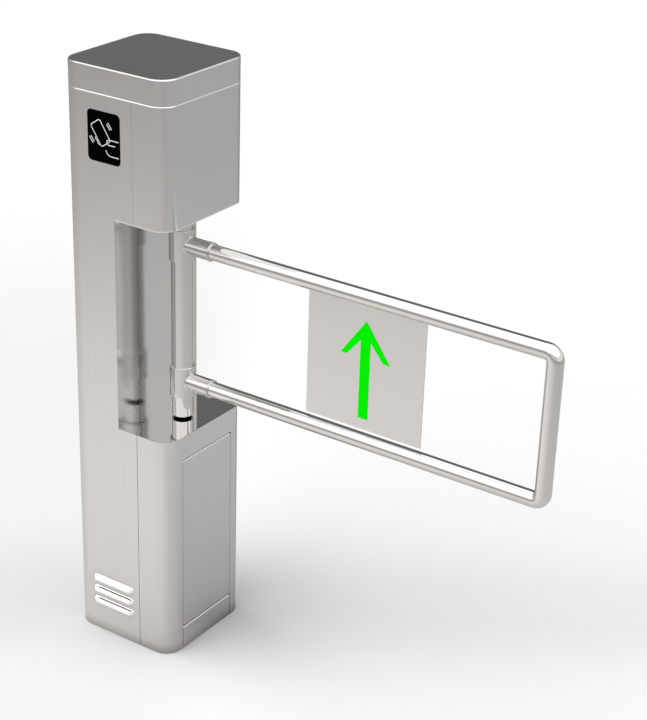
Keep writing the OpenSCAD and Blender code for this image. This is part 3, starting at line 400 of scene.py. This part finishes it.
def bevelled(top, length, slope, ease):
    """An edge cut at a slope in degrees: an arc of radius ease, the cut's length, another arc.

    It starts upright at inset 0 and ends level at height top.
    """
    along = length * np.array([np.sin(np.radians(slope)), np.cos(np.radians(slope))])
    foot = np.array([ease, top - ease - along[1]])
    return np.concatenate([arc(foot, -ease, 0, -slope, 4),
                           arc(foot + along, -ease, -slope, -90, 4)])


def supported(*stretches, closed=False, gap=0.25):
    """Joins stretches of (u, v) points; a long side gets two more, a gap from each of its ends.

    They keep the side flat in smooth shading. Points that fall together are left out.
    """
    profile = np.concatenate([np.reshape(part, (-1, 2)) for part in stretches]).astype(float)
    starts = profile if closed else profile[:-1]
    side = (np.roll(profile, -1, 0) if closed else profile[1:]) - starts
    length = np.linalg.norm(side, axis=1)
    step = side * (gap / np.maximum(length, gap))[:, None]
    points = np.stack([starts, starts + step, starts + side - step], 1)
    kept = np.stack([length > 0, length > 4 * gap, length > 4 * gap], 1)
    return points[kept] if closed else np.concatenate([points[kept], profile[-1:]])


def round_plate(half_u, half_v, radius, profile, across=1.0, steps=16, gap=0.25):
    """Carries a profile of (inset, height) round a rectangle with round corners.

    A point lies at its corner's centre plus (radius - inset) along its direction, where along u
    the inset is scaled by across. One more point before and after each corner lies a gap along
    the straight side and keeps that side flat in smooth shading.
    """
    turns = np.concatenate([[0], np.linspace(0, 90, steps + 1), [90]])
    angle = np.radians(turns + 90 * np.arange(4)[:, None])
    shift = np.zeros(steps + 3)
    shift[0], shift[-1] = -gap, gap
    sign_u, sign_v = np.array([[1, -1, -1, 1], [1, 1, -1, -1]])[:, :, None]
    middle_u = (half_u - radius) * sign_u - shift * np.sin(angle)
    middle_v = (half_v - radius) * sign_v + shift * np.cos(angle)
    inset = profile[:, 0, None]
    u = middle_u.ravel() + (radius - inset * across) * np.cos(angle).ravel()
    v = middle_v.ravel() + (radius - inset) * np.sin(angle).ravel()
    return np.stack([u, v, np.broadcast_to(profile[:, 1, None], u.shape)], 2)


def ring(profile, steps=96):
    """Turns a profile of (radius, height) about the z axis."""
    angle = np.linspace(0, 2 * np.pi, steps, endpoint=False)
    radius, height = profile[:, 0, None], profile[:, 1, None]
    return np.stack([radius * np.cos(angle), radius * np.sin(angle),
                     np.broadcast_to(height, (len(profile), steps))], 2)


def placed(grid, middle, u=X, v=Y):
    """The grid with its axes laid along u, v and u x v, and its origin at middle."""
    return np.add(middle, grid @ np.stack([u, v, np.cross(u, v)]))


class Surface:
    """Grids of quads gathered into one mesh; columns, then rows, run anticlockwise from outside."""

    def __init__(self):
        self.points, self.faces = np.empty((0, 3)), []

    def add(self, grid, wrap_rows=False, wrap_columns=True, first_cap=False, last_cap=False):
        """Adds a (rows, columns, 3) grid, closed on itself or capped where it is told."""
        rows, columns = grid.shape[:2]
        index = np.arange(rows * columns).reshape(rows, columns) + len(self.points)
        self.points = np.concatenate([self.points, grid.reshape(-1, 3)])
        if first_cap:
            self.faces.append(index[0, ::-1].tolist())
        if last_cap:
            self.faces.append(index[-1].tolist())
        if wrap_rows:
            index = np.concatenate([index, index[:1]])
        if wrap_columns:
            index = np.concatenate([index, index[:, :1]], 1)
        quads = np.stack([index[:-1, :-1], index[:-1, 1:], index[1:, 1:], index[1:, :-1]], 2)
        self.faces.extend(quads.reshape(-1, 4).tolist())

    def bar(self, low, high, edge):
        """Adds a bar between two corners, all its edges rounded."""
        low, high, gap = np.array(low), np.array(high), 0.1
        cap, round_corner = edge + 0.02, edge + 0.05
        half_u, half_v, tall = (high - low) / (2, 2, 1)
        middle_u, middle_v = (low + high)[:2] / 2
        profile = supported(
            [(cap, 0)], arc((edge, edge), -edge, 90, 0, 4),
            arc((edge, tall - edge), -edge, 0, -90, 4), [(cap, tall)], gap=gap)
        grid = round_plate(half_u, half_v, round_corner, profile, steps=4, gap=gap)
        self.add(placed(grid, (middle_u, middle_v, low[2])), first_cap=True, last_cap=True)

    def piece(self, name, body, slot, replaced=(), finish=None):
        """Makes the object: it moves with the body and stands for the replaced CAD nodes.

        Its finish is the slot's own, or another one that is named.
        """
        mesh = bpy.data.meshes.new(name)
        mesh.from_pydata(self.points * MM, [], self.faces)
        mesh.shade_smooth()
        mesh.set_sharp_from_angle(angle=np.radians(SHARP))
        mesh.materials.append(finishes[finish or slot])
        made = bpy.data.objects.new(name, mesh)
        scene.collection.objects.link(made)
        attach(made, body)
        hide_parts(*replaced)
        return made


# The column: half its width, its corners' radius, and where its casing ends at the top
half, corner = span("spine_shell")[1][1], 30.0
casing_top = span("head_wrap")[1][2]


def build_lid():
    """Lid: an outer wall, a round edge, a flat top and a skirt that enters the head."""
    low, high = span("lid")
    edge, foot_edge, skirt = 2.75, 0.3, 3.6
    foot, under, top = casing_top + 4.0, high[2] - SHEET, high[2]
    profile = supported(
        [(skirt + SHEET + INNER_CAP, under), (skirt + SHEET, under), (skirt + SHEET, low[2]),
         (skirt, low[2]), (skirt, under), (SHEET, under), (SHEET, foot)],
        arc((foot_edge, foot + foot_edge), -foot_edge, 90, 0, 3),
        arc((edge, top - edge), -edge, 0, -90, 12),
        [(edge + CAP, top)])
    shape = Surface()
    shape.add(round_plate(half, half, corner, profile), first_cap=True, last_cap=True)
    shape.piece("lid_shell", "lid", "brushed_casing", ["lid"])


def build_rim():
    """Bright bead between the casing and the lid, with the lip that holds the skins in line."""
    low, top, play = span("lid_rim")[0][2], casing_top + 3.8, 0.15
    cut, slope, ease = 1.7, 32, 0.3
    lip_out, lip_in = SHEET + play, 2 * SHEET + play
    profile = supported(
        [(lip_in, low), (lip_out, low), (lip_out, casing_top), (0, casing_top)],
        bevelled(top, cut, slope, ease), [(lip_in, top)], closed=True)
    shape = Surface()
    shape.add(round_plate(half, half, corner, profile), wrap_rows=True)
    shape.piece("rim_bead", "column", "polished_steel", ["lid_rim"])


def build_wing():
    """One bent tube: lower rail, elbow, end tube, elbow and upper rail.

    At each point of its middle line a circle lies square to the line's heading. One circle
    stands near each end of a bend and keeps the straight tube's shading even.
    """
    replaced = ["top_rail", "bottom_rail", "end_tube", "corner_elbows"]
    low, high = span(*replaced)
    radius, bend, near, steps = 12.5, 14.0, 2.0, 24
    start, end = low[0], high[0] - radius
    low_z, high_z, corner_x = low[2] + radius, high[2] - radius, high[0] - radius - bend
    middle = np.concatenate([
        [(start, low_z), (corner_x - near, low_z)],
        arc((corner_x, low_z + bend), bend, -90, 0, steps),
        [(end, low_z + bend + near), (end, high_z - bend - near)],
        arc((corner_x, high_z - bend), bend, 0, 90, steps),
        [(corner_x - near, high_z), (start, high_z)]])
    quarter = np.linspace(0, 90, steps + 1)
    heading = np.radians(np.concatenate([[0, 0], quarter, [90, 90], 90 + quarter, [180, 180]]))
    around = np.linspace(0, 2 * np.pi, 64, endpoint=False)
    side = radius * np.cos(around)
    x = middle[:, 0, None] - np.sin(heading)[:, None] * side
    z = middle[:, 1, None] + np.cos(heading)[:, None] * side
    y = np.broadcast_to(-radius * np.sin(around), x.shape)
    shape = Surface()
    shape.add(np.stack([x, y, z], 2), first_cap=True, last_cap=True)
    shape.piece("wing_tube", "wing", "polished_steel", replaced)


def build_collar(node):
    """Clamp collar on the post, with a socket for the rail that swells where they join.

    The ring is turned about the post's axis and the socket about the rail's. The socket's
    first rows are pushed out by the ring's own depth there, so that they start on its wall.
    """
    low, high = span(node)
    post_low, post_high = span("pivot_post")
    play, sunk = 0.1, 1.0
    post_x, bore = (post_low[0] + post_high[0]) / 2, (post_high[1] - post_low[1]) / 2 + play
    radius, tall, edge = high[1], high[2] - low[2], 1.2
    shape = Surface()
    profile = supported(
        [(bore, 0), (radius - edge, 0)], arc((radius - edge, edge), edge, -90, 0),
        arc((radius - edge, tall - edge), edge, 0, 90), [(bore, tall)], closed=True)
    shape.add(placed(ring(profile), (post_x, 0, low[2])), wrap_rows=True)

    # The socket's radii, then how far it and its lip go out along the rail
    inner, swell, lip, rail = 14.5, 0.9, 15.25, 12.4
    reach, lip_len, lip_edge = high[0] - post_x, 3.0, 0.6
    lip_start = reach - lip_len
    angle = np.radians(np.linspace(0, 90, 11))
    flare = np.stack([inner + swell * (1 - np.sin(angle)), swell * (1 - np.cos(angle))], 1)
    profile = np.concatenate([
        [(inner + swell, -sunk)], flare, supported(
            [(inner, lip_start - lip_edge), (lip - lip_edge / 2, lip_start - lip_edge / 2),
             (lip, lip_start + lip_edge / 2)],
            arc((lip - lip_edge, reach - lip_edge), lip_edge, 0, 90, 5),
            [(rail, reach), (rail, reach - sunk)])])
    socket, on_wall = ring(profile), 1 + len(flare)
    socket[:on_wall, :, 2] += np.sqrt(radius ** 2 - socket[:on_wall, :, 0] ** 2)
    shape.add(placed(socket, (post_x, 0, (low[2] + high[2]) / 2), Y, Z),
              first_cap=True, last_cap=True)
    shape.piece(node + "_cast", "wing", "polished_steel", [node], "shade_painted_post_steel")


def build_louvres():
    """Three pressed hoods over the vent slots.

    Down a hood each point is the sum of the steps before it, a step leaning out from the wall
    by the hood's slope there. Towards both ends it stands out no further than its distance from
    the end, with a smooth minimum that rounds the hip, and there a quarter circle shortens it
    from above and below. Its edges are sunk a little into the casing's face.
    """
    low, high = span("vent_louvres")
    out, tall, pitch, count = -half - low[1], 9.6, 21.5, 3
    wide, middle_x, soft, round_end = high[0] - low[0], (low[0] + high[0]) / 2, 1.0, 4.2
    columns, sunk, wall_deep = 24, 0.2, 0.8
    # Each stretch of the section: its length, its slope in degrees at both ends, and its steps
    bends = [(0.3, 0, 45, 3), (1.2, 45, 45, 4), (0.3, 45, 68, 3), (2.4, 68, 68, 3),
             (0.3, 68, 31, 4), (4.6, 31, 31, 4), (0.4, 31, 0, 3), (2.6, 0, 0, 3), (0.4, 0, -80, 3)]
    slope = np.radians(np.concatenate([np.linspace(a, b, n) for _, a, b, n in bends]))
    step = np.concatenate([np.full(n, length / n) for length, _, _, n in bends])
    lean = np.concatenate([[0], np.cumsum(np.sin(slope) * step)])[::-1]
    drop = np.concatenate([[0], np.cumsum(np.cos(slope) * step)])[::-1]
    lean, drop = lean[:, None] * (out / lean.max()), drop[:, None] * (tall / drop.max())

    end = np.linspace(0, out + 2 * soft, columns)
    x = np.concatenate([end - wide / 2, (wide / 2 - end)[::-1]])
    room = wide / 2 - np.abs(x)
    share = np.clip(0.5 + 0.5 * (room - lean) / soft, 0, 1)
    stands = room * (1 - share) + lean * share - soft * share * (1 - share) / 2
    stands = np.maximum(stands, -sunk)
    short = round_end - np.sqrt(round_end ** 2 - (round_end - np.clip(room, 0, round_end)) ** 2)
    drop = short + drop * (1 - 2 * short / tall)
    shape = Surface()
    for k in range(count):
        z = np.broadcast_to(high[2] - k * pitch - drop, stands.shape)
        shape.add(np.stack([np.broadcast_to(middle_x + x, stands.shape), -half - stands, z], 2),
                  wrap_columns=False)
    # The hoods' near-white steel is a painted highlight
    made = shape.piece("louvre_hoods", "column", "polished_steel", ["vent_louvres"],
                       "highlight_painted_steel")
    wall = made.modifiers.new("wall", "SOLIDIFY")
    wall.thickness, wall.offset = wall_deep * MM, -1


def build_door():
    """Folded door: a flat front, bent edges and a tray behind; its upright edges are sharper."""
    low, high = span("access_door")
    middle, (deep, wide, tall) = (low + high) / 2, high - low
    cut, slope, ease, bend, sharper, round_corner = 3.0, 34, 0.5, 2.7, 0.3, 3.0
    profile = supported(
        [(SHEET + INNER_CAP, deep - SHEET), (SHEET, deep - SHEET), (SHEET, 0), (0, 0)],
        bevelled(deep, cut, slope, ease), [(bend, deep)])
    across = np.where(profile[:, 1:] > deep - bend, sharper, 1.0)
    grid = round_plate(wide / 2, tall / 2, round_corner, profile, across, steps=6)
    shape = Surface()
    shape.add(placed(grid, (low[0], middle[1], middle[2]), Y, Z), first_cap=True, last_cap=True)
    shape.piece("door_tray", "door", "brushed_casing", ["access_door"], "brushed_door")


def build_door_gap_beads():
    """Rubber beads in the gap over and under the door, black to stand in for the gap's shade, and
    steel ones beside its edges.
    """
    low, high = span("access_door")
    gap = 1.0
    left, right, foot, top = low[1] - gap, high[1] + gap, low[2] - gap, high[2] + gap
    # Where each bead's rear and front lie, measured back from the column's side
    upper, lower, upright = (3.5, 1.25), (6.5, 2.0), (0.75, 0.05)
    rubber_wide, rubber_edge, steel_wide, steel_edge = 0.75, 0.3, 0.85, 0.1
    shape = Surface()
    # The black rubber beads are a dark fill standing in for shade in the gap
    shape.bar((half - upper[0], low[1], top - rubber_wide),
              (half - upper[1], high[1], top), rubber_edge)
    shape.bar((half - lower[0], left, foot),
              (half - lower[1], high[1], foot + rubber_wide), rubber_edge)
    shape.piece("door_gap_shade_beads", "column", "black_rubber")

    shape = Surface()
    shape.bar((half - upright[0], left, low[2]),
              (half - upright[1], left + steel_wide, top), steel_edge)
    shape.bar((half - upright[0], right - steel_wide, low[2]),
              (half - upright[1], right, top), steel_edge)
    shape.piece("door_side_beads", "column", "polished_steel")


def build_kick_plate():
    """Strip under the door, bent back at its top to a shelf: one section, carried along y."""
    (rear, left, foot), (front, right, top) = span("kick_plate")
    cut, slope, ease, edge = 1.6, 40, 0.4, 0.4
    bend = bevelled(0, cut, slope, ease)[::-1, ::-1] * (1, -1) + (front, top)
    section = supported(
        [(front - SHEET, foot), (front, foot)], bend,
        [(rear, top), (rear, top - SHEET), (front - cut - SHEET, top - SHEET),
         (front - SHEET, top - cut - SHEET)], closed=True)
    along = np.array([left, left + edge, right - edge, right])
    spread = (len(along), len(section))
    grid = np.stack([np.broadcast_to(section[:, 0], spread),
                     np.broadcast_to(along[:, None], spread),
                     np.broadcast_to(section[:, 1], spread)], 2)
    shape = Surface()
    shape.add(grid[:, ::-1], first_cap=True, last_cap=True)
    shape.piece("kick_strip", "column", "brushed_casing", ["kick_plate"])


def build_window():
    """Black window of the card reader: a flange behind the casing and a proud face."""
    low, high = span("card_window")
    middle, (wide, deep, tall) = (low + high) / 2, high - low
    flange_deep, flange_wide, edge, round_corner = 2.0, 4.15, 0.6, 11.5
    profile = supported(
        [(0, 0), (0, flange_deep), (flange_wide, flange_deep)],
        arc((flange_wide + edge, deep - edge), -edge, 0, -90, 5),
        [(flange_wide + edge + CAP, deep)])
    grid = round_plate(wide / 2, tall / 2, round_corner, profile)
    shape = Surface()
    shape.add(placed(grid, (middle[0], high[1], middle[2]), X, Z), first_cap=True, last_cap=True)
    shape.piece("window_glass", "column", "black_window", ["card_window"])


def stroke(shape, path, placing, closed=False):
    """Adds a printed line: a low bar's section, square to the path at each of its points."""
    wide, tall, sunk = 1.6, 0.12, 0.05
    ahead, behind = np.roll(path, -1, 0), np.roll(path, 1, 0)
    if not closed:
        ahead[-1], behind[0] = path[-1], path[0]
    along = ahead - behind
    along /= np.linalg.norm(along, axis=1, keepdims=True)
    side = np.stack([-along[:, 1], along[:, 0]], 1)
    across = np.array([0.5, 0.4, -0.4, -0.5]) * wide
    rise = np.array([-sunk, tall, tall, -sunk])
    flat = path[:, None] + side[:, None] * across[:, None]
    grid = np.concatenate([flat, np.broadcast_to(rise[:, None], (len(path), 4, 1))], 2)
    shape.add(placed(grid, *placing), wrap_rows=closed, first_cap=not closed,
              last_cap=not closed)


def build_card_sign():
    """Plain picture on the window: a tilted card, waves at two corners and a hand's outline.

    Its points are (x, z) from the window's middle; lean is the card's angle in degrees.
    """
    low, high = span("card_window")
    placing = (((low[0] + high[0]) / 2, low[1], (low[2] + high[2]) / 2), X, Z)
    lean, card_centre, half_card, card_corner = 34, np.array([-6.0, 6.0]), (10.5, 18.5), 3.5
    cos, sin = np.cos(np.radians(lean)), np.sin(np.radians(lean))
    leaning = np.array([[cos, sin], [-sin, cos]])
    card = round_plate(*half_card, card_corner, np.zeros((1, 2)), steps=6)[0, :, :2]
    shape = Surface()
    stroke(shape, card @ leaning + card_centre, placing, closed=True)
    for radius in (19.5, 23.0):
        for start in (22, 202):
            stroke(shape, arc(card_centre, radius, start, start + 30, 10), placing)
    for knuckle in np.array([(-10.5, -4.0), (-10.5, -11.0)]) @ leaning + card_centre:
        stroke(shape, arc(knuckle, 3.2, 88 + lean, 268 + lean, 10), placing)
    thumb = np.concatenate([[(28.5, -2.0), (12.0, -2.0)], arc((10.0, -6.0), 4.0, 90, 270, 10),
                            [(12.0, -10.0), (22.0, -10.0)]])
    palm = np.concatenate([[(28.5, -27.0), (15.0, -27.0)], arc((14.0, -17.0), 10.0, 270, 190, 10)])
    stroke(shape, thumb, placing)
    stroke(shape, palm, placing)
    shape.piece("card_sign", "column", None, finish="white_print")


def build_dust_ring():
    """Rubber ring round the shaft: its section is half an ellipse, on the recess's floor."""
    low, high = span("dust_ring")
    radius, bore, tall = 14.4, 12.6, high[2] - low[2]
    bead = arc((0, 0), 1.0, 0, 180, 16) * ((radius - bore) / 2, tall) + ((radius + bore) / 2, 0)
    shape = Surface()
    shape.add(placed(ring(bead), ((low[0] + high[0]) / 2, 0, low[2])), wrap_rows=True)
    shape.piece("dust_seal", "column", "black_rubber", ["dust_ring"])


def build_seam_strip():
    """Strip behind the head's seam, nearly flush with the skins on both sides of it."""
    foot, top = span("recess_ceiling")[1][2] + 0.2, casing_top - 0.1
    overlap, sunk, deep, edge = 0.02, 0.1, 1.2, 0.1
    left, right = span("spine_shell")[1][0] - overlap, span("head_wrap")[0][0] + overlap
    shape = Surface()
    shape.bar((left, -half + sunk, foot), (right, -half + deep, top), edge)
    shape.bar((left, half - deep, foot), (right, half - sunk, top), edge)
    shape.piece("head_seam_strip", "column", "brushed_casing")


build_lid()
build_rim()
build_wing()
build_collar("upper_collar")
build_collar("lower_collar")
build_louvres()
build_door()
build_door_gap_beads()
build_kick_plate()
build_window()
build_card_sign()
build_dust_ring()
build_seam_strip()
